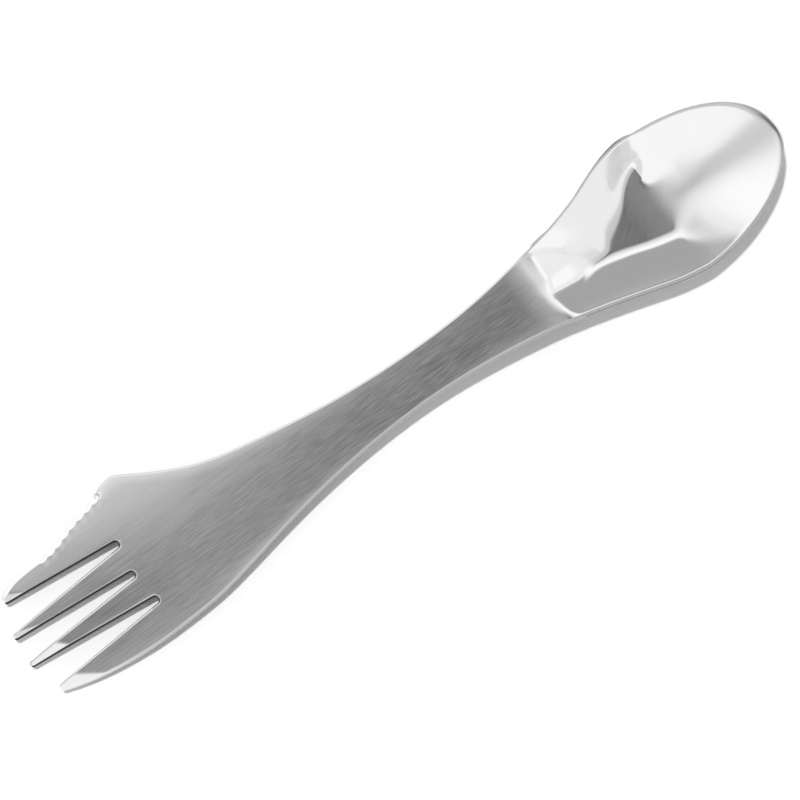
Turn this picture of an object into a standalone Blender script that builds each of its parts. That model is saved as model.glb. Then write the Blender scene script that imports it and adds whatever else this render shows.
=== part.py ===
# A one-piece steel camping utensil: spoon bowl at +X, four-tine fork at -X,
# saw-toothed knife edge along the fork's +Y side. It is blanked from one sheet,
# pressed to shape and ground, so the whole of it is a single solid.
#
# Metres, +Z up. +X runs along the length towards the bowl, z = 0 is the table.
# The blank is laid out flat as rows of four-sided faces, lifted onto the pressed
# surface, and given its thickness and its rounded edges.

import math

import bpy
import numpy as np

# Overall sizes
OVERALL_LENGTH = 0.200
TIP_X = -OVERALL_LENGTH / 2
NOSE_X = OVERALL_LENGTH / 2
SHEET = 0.0018                 # thickness of the steel
EDGE_ROUND = 0.0004            # radius left on every cut edge
CROWN_RADIUS = 0.480           # slight dome across the handle and the fork's palm
PALM_OFFSET = 0.0032           # the dome is centred on the palm, this far off the axis

# Lengths of the fork and the spoon, measured in from their own ends. The handle between
# them takes up any change of the overall length.
HORN_FROM_TIP = 0.0359
KNIFE_FOOT_FROM_TIP = 0.0326   # where the toothed edge meets the horn
PALM_FROM_TIP = 0.0263         # the fork's plain side at its widest
SLOT_LENGTH = 0.0301
BOWL_FROM_NOSE = 0.0310        # the bowl at its widest
FOLD_FROM_NOSE = 0.0635        # where the handle turns down into the bowl
HORN_PLACE = TIP_X + HORN_FROM_TIP
KNIFE_FOOT_PLACE = TIP_X + KNIFE_FOOT_FROM_TIP
PALM_PLACE = TIP_X + PALM_FROM_TIP
SLOT_ROOT_PLACE = TIP_X + SLOT_LENGTH
BOWL_PLACE = NOSE_X - BOWL_FROM_NOSE
FOLD_PLACE = NOSE_X - FOLD_FROM_NOSE

# Half widths of the blank, measured out from the axis
NECK_PLACE = 0.0080            # narrowest place of the handle, from mid-length
NECK_KNIFE_REACH = 0.0062
NECK_PLAIN_REACH = 0.00528
HORN_REACH = 0.02229
KNIFE_FOOT_REACH = 0.02124
KNIFE_TIP_REACH = 0.01424      # outer corner of the knife tine's end
PALM_REACH = 0.01404
PLAIN_TIP_REACH = 0.01024      # outer corner of the plain outer tine's end
BOWL_KNIFE_REACH = 0.01745     # the bowl's rim on the knife side
BOWL_PLAIN_REACH = 0.0169
KNIFE_NOSE_POWER = 2.24        # how square each half of the bowl's end is; 2 is an ellipse
PLAIN_NOSE_POWER = 1.82

# Outline between those places: share of the way along, share of the way out
HORN_FLARE_SHARES = [(0.27, 0.053), (0.445, 0.153), (0.59, 0.271), (0.71, 0.392),
                     (0.80, 0.544), (0.887, 0.751), (0.945, 0.912), (0.975, 0.987)]
PALM_FLARE_SHARES = [(0.21, 0.010), (0.40, 0.189), (0.56, 0.441), (0.71, 0.737),
                     (0.82, 0.914), (0.91, 0.977)]
KNIFE_SHARES = [(0.12, 0.131), (0.26, 0.253), (0.40, 0.450), (0.54, 0.612), (0.70, 0.667),
                (0.84, 0.720), (0.92, 0.812)]
PLAIN_TINE_SHARES = [(0.42, 0.183), (0.77, 0.578)]
BOWL_KNIFE_SHARES = [(0.105, 0.010), (0.31, 0.107), (0.515, 0.283), (0.654, 0.444),
                     (0.794, 0.691), (0.865, 0.842), (0.935, 0.945)]
BOWL_PLAIN_SHARES = [(0.10, 0.040), (0.30, 0.171), (0.47, 0.327), (0.64, 0.547),
                     (0.78, 0.753), (0.88, 0.900), (0.95, 0.966)]

# Tines and the slots between them, listed from the plain side to the knife side
SLOT_PITCH = 0.00743
MIDDLE_SLOT_REACH = 0.00165    # the middle slot lies off the axis, towards the knife side
MIDDLE_SLOT_SETBACK = 0.0010
SLOT_ROUND = 0.0008            # radius of the slot's root
SLOT_HALF_ANGLES = [math.radians(4.9), math.radians(3.9), math.radians(4.9)]
SLOT_LEAN = math.radians(-0.4)
TINE_SETBACKS = [0.0023, 0.0, 0.0004, 0.0031]
TINE_CORNER = 0.00055

# Toothed knife edge
TOOTH_PITCH = 0.00235
TOOTH_DEPTH = 0.0004
TOOTH_COUNT = 8
GRIND_WIDTH = 0.0012           # width of the ground bevel
KNIFE_EDGE = 0.0004            # steel left at the edge itself
KNIFE_ROUND = 0.00015

# Tines ground thinner towards their ends
TAPER_LENGTH = 0.0200
TAPER = 0.0005
TAPER_POWER = 1.3

# Side profile of the underside: rise above the table
TIP_RISE = 0.0001
CREST_RISE = 0.0061
NOSE_RISE = 0.00575
HEEL_SHARE = -0.44             # where the fork touches the table, as a share of the length
FORK_SHARES = [(-0.475, 0.005), (-0.395, 0.016), (-0.355, 0.049), (-0.310, 0.102),
               (-0.270, 0.161), (-0.225, 0.233), (-0.150, 0.361)]
HANDLE_SHARES = [(0.0, 0.623), (0.155, 0.893)]
RIM_SHARES = [(0.25, 0.992), (0.375, 1.008)]

# Bowl, pressed down from the sheet
VALLEY_REACH = -0.0010         # the ramp's two facets meet just off the axis
KNIFE_RAMP_ANGLE = math.radians(24.6)
PLAIN_RAMP_ANGLE = math.radians(26.4)
KNIFE_RAMP_SWEEP = 0.125       # sideways slope of each ramp facet
PLAIN_RAMP_SWEEP = 0.090
# Slope of the wall on the knife side: share of the way from the fold to the nose, slope
KNIFE_WALL_SLOPES = [(0.055, 0.50), (0.25, 0.62), (0.307, 0.80), (0.376, 0.87), (0.414, 0.96),
                     (0.449, 1.12), (0.501, 1.36), (0.543, 1.45)]
PLAIN_WALL_SLOPE = 0.70        # at the rim, easing towards the floor
PLAIN_WALL_EASING = 0.161      # drop in slope over the bowl's half width
# Line where the floor and walls turn up into the nose: share of the half width, distance
# ahead of (or behind) the bowl's widest place as a share of the nose's length
TURN_UP_SHARES = [(-1.0, 0.129), (-0.385, -0.090), (-0.06, 0.048), (0.285, 0.026),
                  (0.69, 0.042), (1.0, 0.081)]
SOFT_TURN_UP = 0.0070          # run of that turn on the plain side
CRISP_TURN_UP = 0.0040         # and on the knife side
NOSE_MIDDLE_REACH = 0.0014     # the nose is cupped about a line just off the axis
NOSE_CUP = 0.35                # how round the bottom of the cup is
NOSE_CUP_POWER = 1.2
LIP = 0.0005                   # level rim outside the hollow
PLAIN_FOLD_BLEND = 0.0012
KNIFE_FOLD_BLEND = 0.0024
LIP_BLEND = 0.0004
VALLEY_BLEND = 0.0005
RAMP_BLEND = 0.0030
PLAIN_CREASE = 0.0010          # blend where the plain wall meets the floor
# Blend on the knife side: share of the way from the fold to the nose, size
KNIFE_CREASES = [(0.21, 0.0024), (0.34, 0.0020), (0.465, 0.0007), (0.53, 0.0008)]

# Mesh counts
TINE_COLUMNS = [3, 2, 3, 4]
TIP_ROWS = 3
CORNER_ROWS = 3
ROOT_ROWS = 4
ROWS_PER_TOOTH = 4
HORN_ROWS = 7
HANDLE_ROWS = 18
FOLD_ROWS = 8
BOWL_ROWS = 17
NOSE_ROWS = 10
EDGE_STEPS = 2
NOSE_END_SHARE = 0.42          # share of the nose's quarter turn that its last row spans

# Small steps used in the working, in the sizes they follow
SLOPE_STEP = SHEET / 100
TINE_BASE_SHARE = 0.66         # share of the slots' length that the common rows cover
LOOK_STEPS = 400


def smooth_max(a, b, blend):
    h = np.maximum(blend - np.abs(a - b), 0.0) / blend
    return np.maximum(a, b) + h ** 3 * blend / 6


def smooth_min(a, b, blend):
    return -smooth_max(-a, -b, blend)


def ease(a, b, x):
    t = np.clip((x - a) / (b - a), 0.0, 1.0)
    return t * t * (3 - 2 * t)


class Curve:
    """A natural cubic through points, so that its bend changes evenly."""

    def __init__(self, points):
        points = sorted(points)
        self.x = np.array([p[0] for p in points])
        self.y = np.array([p[1] for p in points])
        n = len(points)
        h = np.diff(self.x)
        a = np.zeros((n, n))
        b = np.zeros(n)
        a[0, 0] = a[-1, -1] = 1
        for i in range(1, n - 1):
            a[i, i - 1:i + 2] = h[i - 1], 2 * (h[i - 1] + h[i]), h[i]
            slope_after = (self.y[i + 1] - self.y[i]) / h[i]
            slope_before = (self.y[i] - self.y[i - 1]) / h[i - 1]
            b[i] = 6 * (slope_after - slope_before)
        self.bend = np.linalg.solve(a, b)
        self.h = h

    def __call__(self, x):
        x = np.asarray(x, dtype=float)
        i = np.clip(np.searchsorted(self.x, x) - 1, 0, len(self.h) - 1)
        h = self.h[i]
        left = (self.x[i + 1] - x) / h
        right = (x - self.x[i]) / h
        bent = (left ** 3 - left) * self.bend[i] + (right ** 3 - right) * self.bend[i + 1]
        return left * self.y[i] + right * self.y[i + 1] + bent * h * h / 6


def between(start, end, shares):
    """Points at shares of the way from one (place, reach) to another, ends included."""
    inner = [(start[0] + p * (end[0] - start[0]), start[1] + r * (end[1] - start[1]))
             for p, r in shares]
    return [start] + inner + [end]


def outline_curves():
    knife_neck = (NECK_PLACE, NECK_KNIFE_REACH)
    plain_neck = (NECK_PLACE, NECK_PLAIN_REACH)
    horn = (HORN_PLACE, HORN_REACH)
    foot = (KNIFE_FOOT_PLACE, KNIFE_FOOT_REACH)
    knife_tip = (TIP_X + TINE_SETBACKS[3], KNIFE_TIP_REACH)
    palm = (PALM_PLACE, PALM_REACH)
    plain_tip = (TIP_X + TINE_SETBACKS[0], PLAIN_TIP_REACH)
    knife_side = (between(knife_neck, horn, HORN_FLARE_SHARES)
                  + between(knife_neck, (BOWL_PLACE, BOWL_KNIFE_REACH), BOWL_KNIFE_SHARES)[1:]
                  + [foot])
    plain_side = (between(plain_neck, palm, PALM_FLARE_SHARES)
                  + between(plain_neck, (BOWL_PLACE, BOWL_PLAIN_REACH), BOWL_PLAIN_SHARES)[1:]
                  + between(palm, plain_tip, PLAIN_TINE_SHARES)[1:])
    knife = between(foot, knife_tip, KNIFE_SHARES)
    return Curve(knife_side), Curve(knife), Curve(plain_side)


HANDLE_SIDE, KNIFE_SIDE, PLAIN_SIDE = outline_curves()


def teeth(x):
    """How far the tooth gullets are ground in from the knife's own line."""
    along = (KNIFE_FOOT_PLACE - x) / TOOTH_PITCH
    inside = (along > 0) & (along < TOOTH_COUNT)
    return np.where(inside, TOOTH_DEPTH * np.sin(math.pi * (along % 1.0)), 0.0)


def on_knife(x):
    return x < KNIFE_FOOT_PLACE


def knife_reach(x):
    """Outline on the +Y side, from the knife tine's end to the bowl's widest place."""
    return np.where(on_knife(x), KNIFE_SIDE(x) - teeth(x), HANDLE_SIDE(x))


def plain_reach(x):
    return -PLAIN_SIDE(x)


def nose_power(side):
    return KNIFE_NOSE_POWER if side > 0 else PLAIN_NOSE_POWER


def nose_point(side, turn):
    """A point of the bowl's rounded end, with its outward direction, at a turn from -Y or +Y."""
    reach = BOWL_KNIFE_REACH if side > 0 else BOWL_PLAIN_REACH
    depth = NOSE_X - BOWL_PLACE
    power = nose_power(side)
    c = abs(math.cos(turn)) ** (2 / power)
    s = abs(math.sin(turn)) ** (2 / power)
    out = np.array([s ** (power - 1) / depth, side * c ** (power - 1) / reach])
    return np.array([BOWL_PLACE + depth * s, side * reach * c]), out / np.linalg.norm(out)


def profile_curve():
    points = [(TIP_X, TIP_RISE), (HEEL_SHARE * OVERALL_LENGTH, 0.0), (NOSE_X, NOSE_RISE)]
    shares = FORK_SHARES + HANDLE_SHARES + RIM_SHARES
    points += [(p * OVERALL_LENGTH, r * CREST_RISE) for p, r in shares]
    return Curve(points)


PROFILE = profile_curve()


def palm_middle(x):
    """Line that the dome is centred on: the axis, and the fork's own middle at the palm."""
    return PALM_OFFSET * ease(NECK_PLACE, HORN_PLACE, x)


def lowest_edge():
    """Lowest height of the fork's two sides, so that they rest on the table with the bowl."""
    x = np.linspace(TIP_X, 0.0, LOOK_STEPS)
    knife_edge = np.where(on_knife(x), KNIFE_SIDE(x), HANDLE_SIDE(x)) - palm_middle(x)
    plain_edge = PLAIN_SIDE(x) + palm_middle(x)
    reach = np.maximum(knife_edge, plain_edge) - EDGE_ROUND
    return (PROFILE(x) - reach ** 2 / (2 * CROWN_RADIUS)).min()


LOWEST = lowest_edge()


def sheet_height(x, y):
    """Top of the sheet before the bowl is pressed."""
    off = y - palm_middle(x)
    return PROFILE(x) - LOWEST + SHEET - off ** 2 / (2 * CROWN_RADIUS)


def nose_ring(x, y):
    """1 on the rounded end's outline, 0 at the middle of the bowl's widest place."""
    depth = NOSE_X - BOWL_PLACE
    power = np.where(y > 0, KNIFE_NOSE_POWER, PLAIN_NOSE_POWER)
    reach = np.where(y > 0, BOWL_KNIFE_REACH, BOWL_PLAIN_REACH)
    along = np.maximum(x - BOWL_PLACE, 0.0) / depth
    across = np.abs(y) / reach
    ring = np.maximum((along ** power + across ** power) ** (1 / power), 1e-6)
    pull_x = (along / ring) ** (power - 1) / depth
    pull_y = (across / ring) ** (power - 1) / reach
    return ring, np.sqrt(pull_x ** 2 + pull_y ** 2 + 1e-12)


def rim_distance(x, y):
    """Distance in from the bowl's outline, near enough square to it."""
    step = SLOPE_STEP
    before = np.minimum(x, BOWL_PLACE - step)
    knife_slope = (HANDLE_SIDE(before + step) - HANDLE_SIDE(before)) / step
    plain_slope = (PLAIN_SIDE(before + step) - PLAIN_SIDE(before)) / step
    to_knife = (HANDLE_SIDE(before) - y) / np.sqrt(1 + knife_slope ** 2)
    to_plain = (y + PLAIN_SIDE(before)) / np.sqrt(1 + plain_slope ** 2)
    ring, pull = nose_ring(x, y)
    return np.where(x < BOWL_PLACE, np.minimum(to_knife, to_plain), (1 - ring) / pull) - LIP


def along_bowl(shares, x):
    """Value at x from a list of (share of the way from the fold to the nose, value)."""
    places, values = zip(*shares)
    return np.interp((x - FOLD_PLACE) / (NOSE_X - FOLD_PLACE), places, values)


def nose_height(x, y):
    """The cupped, rounded end of the bowl."""
    ring = nose_ring(x, y)[0]
    off = y - NOSE_MIDDLE_REACH * np.clip(1 - ring, 0, 1)
    ring = nose_ring(x, off)[0] * (1 + LIP / BOWL_PLAIN_REACH)
    half = NOSE_CUP_POWER / 2
    low = NOSE_CUP ** NOSE_CUP_POWER
    share = ((ring ** 2 + NOSE_CUP ** 2) ** half - low) / ((1 + NOSE_CUP ** 2) ** half - low)
    return SHEET + (sheet_height(x, y) - SHEET) * share


def turn_up(x, y):
    """0 on the floor and walls, 1 on the nose, and between them along the turn-up line."""
    places, shares = zip(*TURN_UP_SHARES)
    start = BOWL_PLACE + np.interp(y / BOWL_PLAIN_REACH, places, shares) * (NOSE_X - BOWL_PLACE)
    soft = ease(start, start + SOFT_TURN_UP, x)
    crisp = 1 - (1 - np.clip((x - start) / CRISP_TURN_UP, 0, 1)) ** 2
    return soft + (crisp - soft) * ease(0, SOFT_TURN_UP, y)


def hollow_height(x, y):
    """The pressed hollow alone: ramp, floor, walls and the nose."""
    knife_half = ease(-LIP, LIP, y)
    crest = sheet_height(FOLD_PLACE, 0.0)
    run = x - FOLD_PLACE
    off = y - VALLEY_REACH
    knife_ramp = crest - math.tan(KNIFE_RAMP_ANGLE) * run + KNIFE_RAMP_SWEEP * off
    plain_ramp = crest - math.tan(PLAIN_RAMP_ANGLE) * run - PLAIN_RAMP_SWEEP * off
    ramp = smooth_max(knife_ramp, plain_ramp, VALLEY_BLEND)
    floor = smooth_max(np.full_like(ramp, SHEET), ramp, RAMP_BLEND)
    inside = rim_distance(x, y)
    plain_fall = PLAIN_WALL_SLOPE * inside
    plain_fall -= PLAIN_WALL_EASING * np.maximum(inside, 0) ** 2 / BOWL_PLAIN_REACH
    knife_fall = along_bowl(KNIFE_WALL_SLOPES, x) * inside
    fall = plain_fall + (knife_fall - plain_fall) * knife_half
    blend = PLAIN_CREASE + (along_bowl(KNIFE_CREASES, x) - PLAIN_CREASE) * knife_half
    back = smooth_max(floor, sheet_height(x, y) - fall, blend)
    return back + (nose_height(x, y) - back) * turn_up(x, y)


def top_height(x, y):
    x = np.asarray(x, dtype=float)
    y = np.asarray(y, dtype=float)
    start = FOLD_PLACE - 4 * KNIFE_FOLD_BLEND
    past_fold = ease(FOLD_PLACE, FOLD_PLACE + 2 * KNIFE_FOLD_BLEND, x)
    blend = PLAIN_FOLD_BLEND + (KNIFE_FOLD_BLEND - PLAIN_FOLD_BLEND) * ease(-LIP, LIP, y)
    blend += (LIP_BLEND - blend) * past_fold
    pressed = smooth_min(sheet_height(x, y), hollow_height(x, y), blend)
    return np.where(x < start, sheet_height(x, y), pressed)


def tine_thinning(x):
    """How much the tines are ground down from above towards their ends."""
    past = np.maximum((TIP_X + TAPER_LENGTH - x) / TAPER_LENGTH, 0.0)
    return TAPER * past ** TAPER_POWER


def surface(x, y):
    """Points of the top surface and its unit normals."""
    z = top_height(x, y)
    slope_x = (top_height(x + SLOPE_STEP, y) - top_height(x - SLOPE_STEP, y)) / (2 * SLOPE_STEP)
    slope_y = (top_height(x, y + SLOPE_STEP) - top_height(x, y - SLOPE_STEP)) / (2 * SLOPE_STEP)
    normal = np.stack([-slope_x, -slope_y, np.ones_like(z)], axis=1)
    normal /= np.linalg.norm(normal, axis=1)[:, None]
    return np.stack([x, y, z], axis=1), normal


def slot_root(slot):
    return SLOT_ROOT_PLACE - (MIDDLE_SLOT_SETBACK if slot == 1 else 0.0)


def slot_middle(slot, x):
    start = MIDDLE_SLOT_REACH + (slot - 1) * SLOT_PITCH
    return start - (slot_root(slot) - np.minimum(x, slot_root(slot))) * math.tan(SLOT_LEAN)


def slot_half_width(slot, x):
    """Half the gap at x, out to where the flat of each tine ends; zero past the root."""
    radius = SLOT_ROUND + EDGE_ROUND
    centre = slot_root(slot) - SLOT_ROUND
    angle = SLOT_HALF_ANGLES[slot]
    straight = radius / math.cos(angle) + (centre - x) * math.tan(angle)
    arc = math.sqrt(max(radius ** 2 - (x - centre) ** 2, 0.0))
    return straight if x < centre + radius * math.sin(angle) else arc


def root_end(slot):
    return slot_root(slot) + EDGE_ROUND


def inner_knife_reach(x):
    inset = KNIFE_ROUND if on_knife(x) else EDGE_ROUND
    slope = (knife_reach(x + SLOPE_STEP) - knife_reach(x - SLOPE_STEP)) / (2 * SLOPE_STEP)
    return float(knife_reach(x)) - inset * math.hypot(1, min(abs(slope), 1))


def inner_plain_reach(x):
    slope = (plain_reach(x + SLOPE_STEP) - plain_reach(x - SLOPE_STEP)) / (2 * SLOPE_STEP)
    return float(plain_reach(x)) + EDGE_ROUND * math.hypot(1, slope)


def even(start, end, count):
    return list(np.linspace(start, end, count + 1))


def round_rows(start, end, count):
    """Places that crowd towards the end, as a quarter circle's do."""
    return [start + (end - start) * math.sin(math.pi / 2 * i / count) for i in range(count + 1)]


def common_rows():
    """Places along X of the rows that run right across, tines included."""
    middle_end, outer_end = root_end(1), root_end(0)
    radius = SLOT_ROUND + EDGE_ROUND
    tooth_end = KNIFE_FOOT_PLACE - TOOTH_COUNT * TOOTH_PITCH
    tine_base = outer_end - TINE_BASE_SHARE * (outer_end - TIP_X)
    rows = even(min(tine_base, tooth_end - TOOTH_PITCH), tooth_end, 3)
    step = TOOTH_PITCH / ROWS_PER_TOOTH
    rows += [tooth_end + i * step for i in range(1, TOOTH_COUNT * ROWS_PER_TOOTH + 1)]
    rows += round_rows(middle_end - radius, middle_end, ROOT_ROWS)
    rows += round_rows(outer_end - radius, outer_end, ROOT_ROWS)
    horn_end = 2 * HORN_PLACE - KNIFE_FOOT_PLACE
    rows += even(KNIFE_FOOT_PLACE, horn_end, HORN_ROWS)
    fold_start = FOLD_PLACE - 2 * KNIFE_FOLD_BLEND
    fold_end = FOLD_PLACE + 2 * KNIFE_FOLD_BLEND
    rows += even(horn_end, fold_start, HANDLE_ROWS)
    rows += even(fold_start, fold_end, FOLD_ROWS)
    rows += even(fold_end, BOWL_PLACE, BOWL_ROWS)
    return thin_out(rows, keep=[middle_end, outer_end, KNIFE_FOOT_PLACE, BOWL_PLACE])


def thin_out(rows, keep):
    """Sorted rows without near-doubles; the kept places always stay."""
    least = SLOT_ROUND / 8
    out = []
    for x in sorted(rows):
        if out and x - out[-1] < least:
            if any(abs(x - k) < least / 10 for k in keep):
                out[-1] = x
            continue
        out.append(x)
    return out


def divider(slot, x):
    """Where the line of a slot runs on through the palm and the handle."""
    start = root_end(slot)
    low, high = inner_plain_reach(start), inner_knife_reach(start)
    at_root = (float(slot_middle(slot, start)) - low) / (high - low)
    columns_below = sum(TINE_COLUMNS[:slot + 1]) / sum(TINE_COLUMNS)
    share = at_root + (columns_below - at_root) * float(ease(start, NECK_PLACE, x))
    low, high = inner_plain_reach(x), inner_knife_reach(x)
    return low + share * (high - low)


def tine_edges(tine, x):
    """Flat part of a tine's strip at x, from its -Y to its +Y side."""
    if tine == 0:
        low = inner_plain_reach(x)
    else:
        low = slot_side(tine - 1, x, 1)
    high = inner_knife_reach(x) if tine == 3 else slot_side(tine, x, -1)
    return low, high


def slot_side(slot, x, side):
    if x >= root_end(slot):
        return divider(slot, x)
    return float(slot_middle(slot, x)) + side * slot_half_width(slot, x)


def columns(tine, low, high, x):
    """Places across one strip; on the knife tine the last column is the ground bevel."""
    count = TINE_COLUMNS[tine]
    if tine < 3:
        return even(low, high, count)
    bevel = min(GRIND_WIDTH, (high - low) / 2)
    grown = (high - low) / count
    bevel += (grown - bevel) * float(ease(KNIFE_FOOT_PLACE, NECK_PLACE, x))
    return even(low, high - bevel, count - 1) + [high]


def grind_drop(x):
    """How far the bevel takes the edge down: nothing at the horn, full along the knife."""
    full = SHEET - KNIFE_EDGE
    start = ease(KNIFE_FOOT_PLACE + GRIND_WIDTH / 2, KNIFE_FOOT_PLACE - GRIND_WIDTH / 2, x)
    return full * float(start)


class Blank:
    """The flat blank: points with the edge radius and grinding each one gets, and faces."""

    def __init__(self):
        self.points = []
        self.rounds = []
        self.drops = []
        self.faces = []

    def add(self, x, y, radius=EDGE_ROUND, drop=0.0):
        self.points.append((x, y))
        self.rounds.append(radius)
        self.drops.append(drop)
        return len(self.points) - 1

    def add_row(self, tine, x, low, high):
        ids = []
        places = columns(tine, low, high, x)
        for i, y in enumerate(places):
            at_knife = tine == 3 and i == len(places) - 1 and on_knife(x)
            drop = grind_drop(x) if at_knife else 0.0
            radius = KNIFE_ROUND if at_knife else EDGE_ROUND
            ids.append(self.add(x, y, radius, drop))
        return ids

    def join(self, row_a, row_b):
        for i in range(len(row_a) - 1):
            self.faces.append((row_a[i], row_b[i], row_b[i + 1], row_a[i + 1]))


def lay_out_blank():
    blank = Blank()
    rows = common_rows()
    last = None
    for x in rows:
        strips = []
        for tine in range(4):
            low, high = tine_edges(tine, x)
            strip = blank.add_row(tine, x, low, high)
            if tine and x >= root_end(tine - 1) - SLOPE_STEP:
                strip[0] = strips[-1][-1]
            strips.append(strip)
        if last is None:
            first = strips
        else:
            for before, after in zip(last, strips):
                blank.join(before, after)
        last = strips
    for tine in range(4):
        add_tine_end(blank, tine, rows[0], first[tine])
    full_row = last[0] + [i for strip in last[1:] for i in strip[1:]]
    add_nose(blank, full_row)
    return blank


def add_tine_end(blank, tine, base, base_row):
    """Rows from a tine's blunt end to the first common row."""
    end = TIP_X + TINE_SETBACKS[tine] + EDGE_ROUND
    corner = TINE_CORNER - EDGE_ROUND
    places = [end + corner * (1 - math.cos(math.pi / 2 * i / CORNER_ROWS))
              for i in range(CORNER_ROWS)]
    places += even(end + corner, base, TIP_ROWS)[:-1]
    before = None
    for x in places:
        low, high = tine_edges(tine, x)
        into = max(corner - (x - end), 0.0)
        pinch = corner - math.sqrt(corner ** 2 - into ** 2)
        row = blank.add_row(tine, x, low + pinch, high - pinch)
        if before:
            blank.join(before, row)
        before = row
    blank.join(before, base_row)


def nose_edge_point(turn):
    """Inner outline of the nose, at a turn from -90 degrees (-Y side) to +90 (+Y side)."""
    side = 1 if turn > 0 else -1
    point, out = nose_point(side, math.pi / 2 - abs(turn))
    return point - EDGE_ROUND * out


def add_nose(blank, first_row):
    """Rows across the bowl's rounded end, the last of them lying along its rim."""
    count = len(first_row) - 1
    across = np.array([blank.points[i] for i in first_row])
    last_turn = NOSE_END_SHARE * math.pi / 2
    end = np.array([nose_edge_point(last_turn * (2 * i / count - 1)) for i in range(count + 1)])
    before = first_row
    for r in range(1, NOSE_ROWS + 1):
        s = r / NOSE_ROWS
        turn = math.pi / 2 + (last_turn - math.pi / 2) * s
        low, high = nose_edge_point(-turn), nose_edge_point(turn)
        row = []
        for i in range(count + 1):
            t = i / count
            blended = (1 - t) * low + t * high + (1 - s) * across[i] + s * end[i]
            corners = ((1 - s) * ((1 - t) * across[0] + t * across[-1])
                       + s * ((1 - t) * end[0] + t * end[-1]))
            row.append(blank.add(*(blended - corners)))
        blank.join(before, row)
        before = row


def rim_loop(faces):
    """The blank's outline as one run of point numbers, slots included, inside on the left."""
    sides = {(f[i], f[(i + 1) % 4]) for f in faces for i in range(4)}
    follow = {a: b for a, b in sides if (b, a) not in sides}
    start = next(iter(follow))
    loop = [start]
    while follow[loop[-1]] != start:
        loop.append(follow[loop[-1]])
    return loop


def outward(points, loop):
    """Unit directions out of the blank, in plan, at each point of its outline."""
    ring = points[loop]
    along = np.roll(ring, -1, axis=0) - ring
    along /= np.linalg.norm(along, axis=1)[:, None]
    turned = np.stack([along[:, 1], -along[:, 0]], axis=1)
    out = turned + np.roll(turned, 1, axis=0)
    return out / np.linalg.norm(out, axis=1)[:, None]


def press(blank):
    """Points and faces of the finished solid."""
    plan = np.array(blank.points)
    base, normal = surface(plan[:, 0], plan[:, 1])
    drops = (np.array(blank.drops) + tine_thinning(plan[:, 0]))[:, None]
    top = base - drops * normal
    bottom = base - SHEET * normal
    loop = rim_loop(blank.faces)
    out2 = outward(plan, loop)
    n = normal[loop]
    out = np.concatenate([out2, np.zeros((len(loop), 1))], axis=1)
    out -= np.sum(out * n, axis=1)[:, None] * n
    out /= np.linalg.norm(out, axis=1)[:, None]
    radius = np.array(blank.rounds)[loop][:, None]
    rings = [np.array(loop)]
    points = [top]
    count = len(top)
    turns = [math.pi / 2 * (i + 1) / EDGE_STEPS for i in range(EDGE_STEPS)]
    levels = [(top[loop], -1, turn) for turn in turns]
    levels += [(bottom[loop], 1, turn) for turn in reversed(turns)]
    for edge, way, turn in levels:
        ring = edge + out * radius * math.sin(turn) + way * n * radius * (1 - math.cos(turn))
        points.append(ring)
        rings.append(np.arange(count, count + len(loop)))
        count += len(loop)
    points.append(bottom)
    under = count
    rings.append(np.array(loop) + under)
    faces = list(blank.faces)
    for a, b in zip(rings, rings[1:]):
        for i in range(len(loop)):
            j = (i + 1) % len(loop)
            faces.append((int(a[i]), int(b[i]), int(b[j]), int(a[j])))
    faces += [tuple(under + i for i in reversed(f)) for f in blank.faces]
    return np.concatenate(points), faces


def recentre(points):
    """Origin under the middle of the part's own box, on the table."""
    low, high = points.min(axis=0), points.max(axis=0)
    middle = (low + high) / 2
    return points - np.array([middle[0], middle[1], low[2]])


def steel():
    material = bpy.data.materials.new("brushed_stainless_steel")
    material.use_nodes = True
    shader = material.node_tree.nodes["Principled BSDF"]
    shader.inputs["Base Color"].default_value = (0.55, 0.55, 0.54, 1.0)
    shader.inputs["Metallic"].default_value = 1.0
    shader.inputs["Roughness"].default_value = 0.3
    return material


def clear_scene():
    for old in list(bpy.data.objects):
        bpy.data.objects.remove(old, do_unlink=True)


def build():
    clear_scene()
    points, faces = press(lay_out_blank())
    points = recentre(points)
    mesh = bpy.data.meshes.new("spork")
    mesh.from_pydata([tuple(p) for p in points.tolist()], [], faces)
    mesh.materials.append(steel())
    mesh.shade_smooth()
    mesh.set_sharp_from_angle(angle=math.radians(35))
    mesh.update()
    spork = bpy.data.objects.new("spork", mesh)
    bpy.context.scene.collection.objects.link(spork)


build()
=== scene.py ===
# Camping spork: one sheet of stainless steel, blanked, pressed and ground. The spoon bowl is at +X,
# the four tines at -X, and the toothed knife edge runs along the fork's +Y side.
# Sizes in the dictionaries are millimetres and degrees; Blender gets metres.
import math

import bpy
import numpy as np
from mathutils import Matrix, Vector


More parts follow.
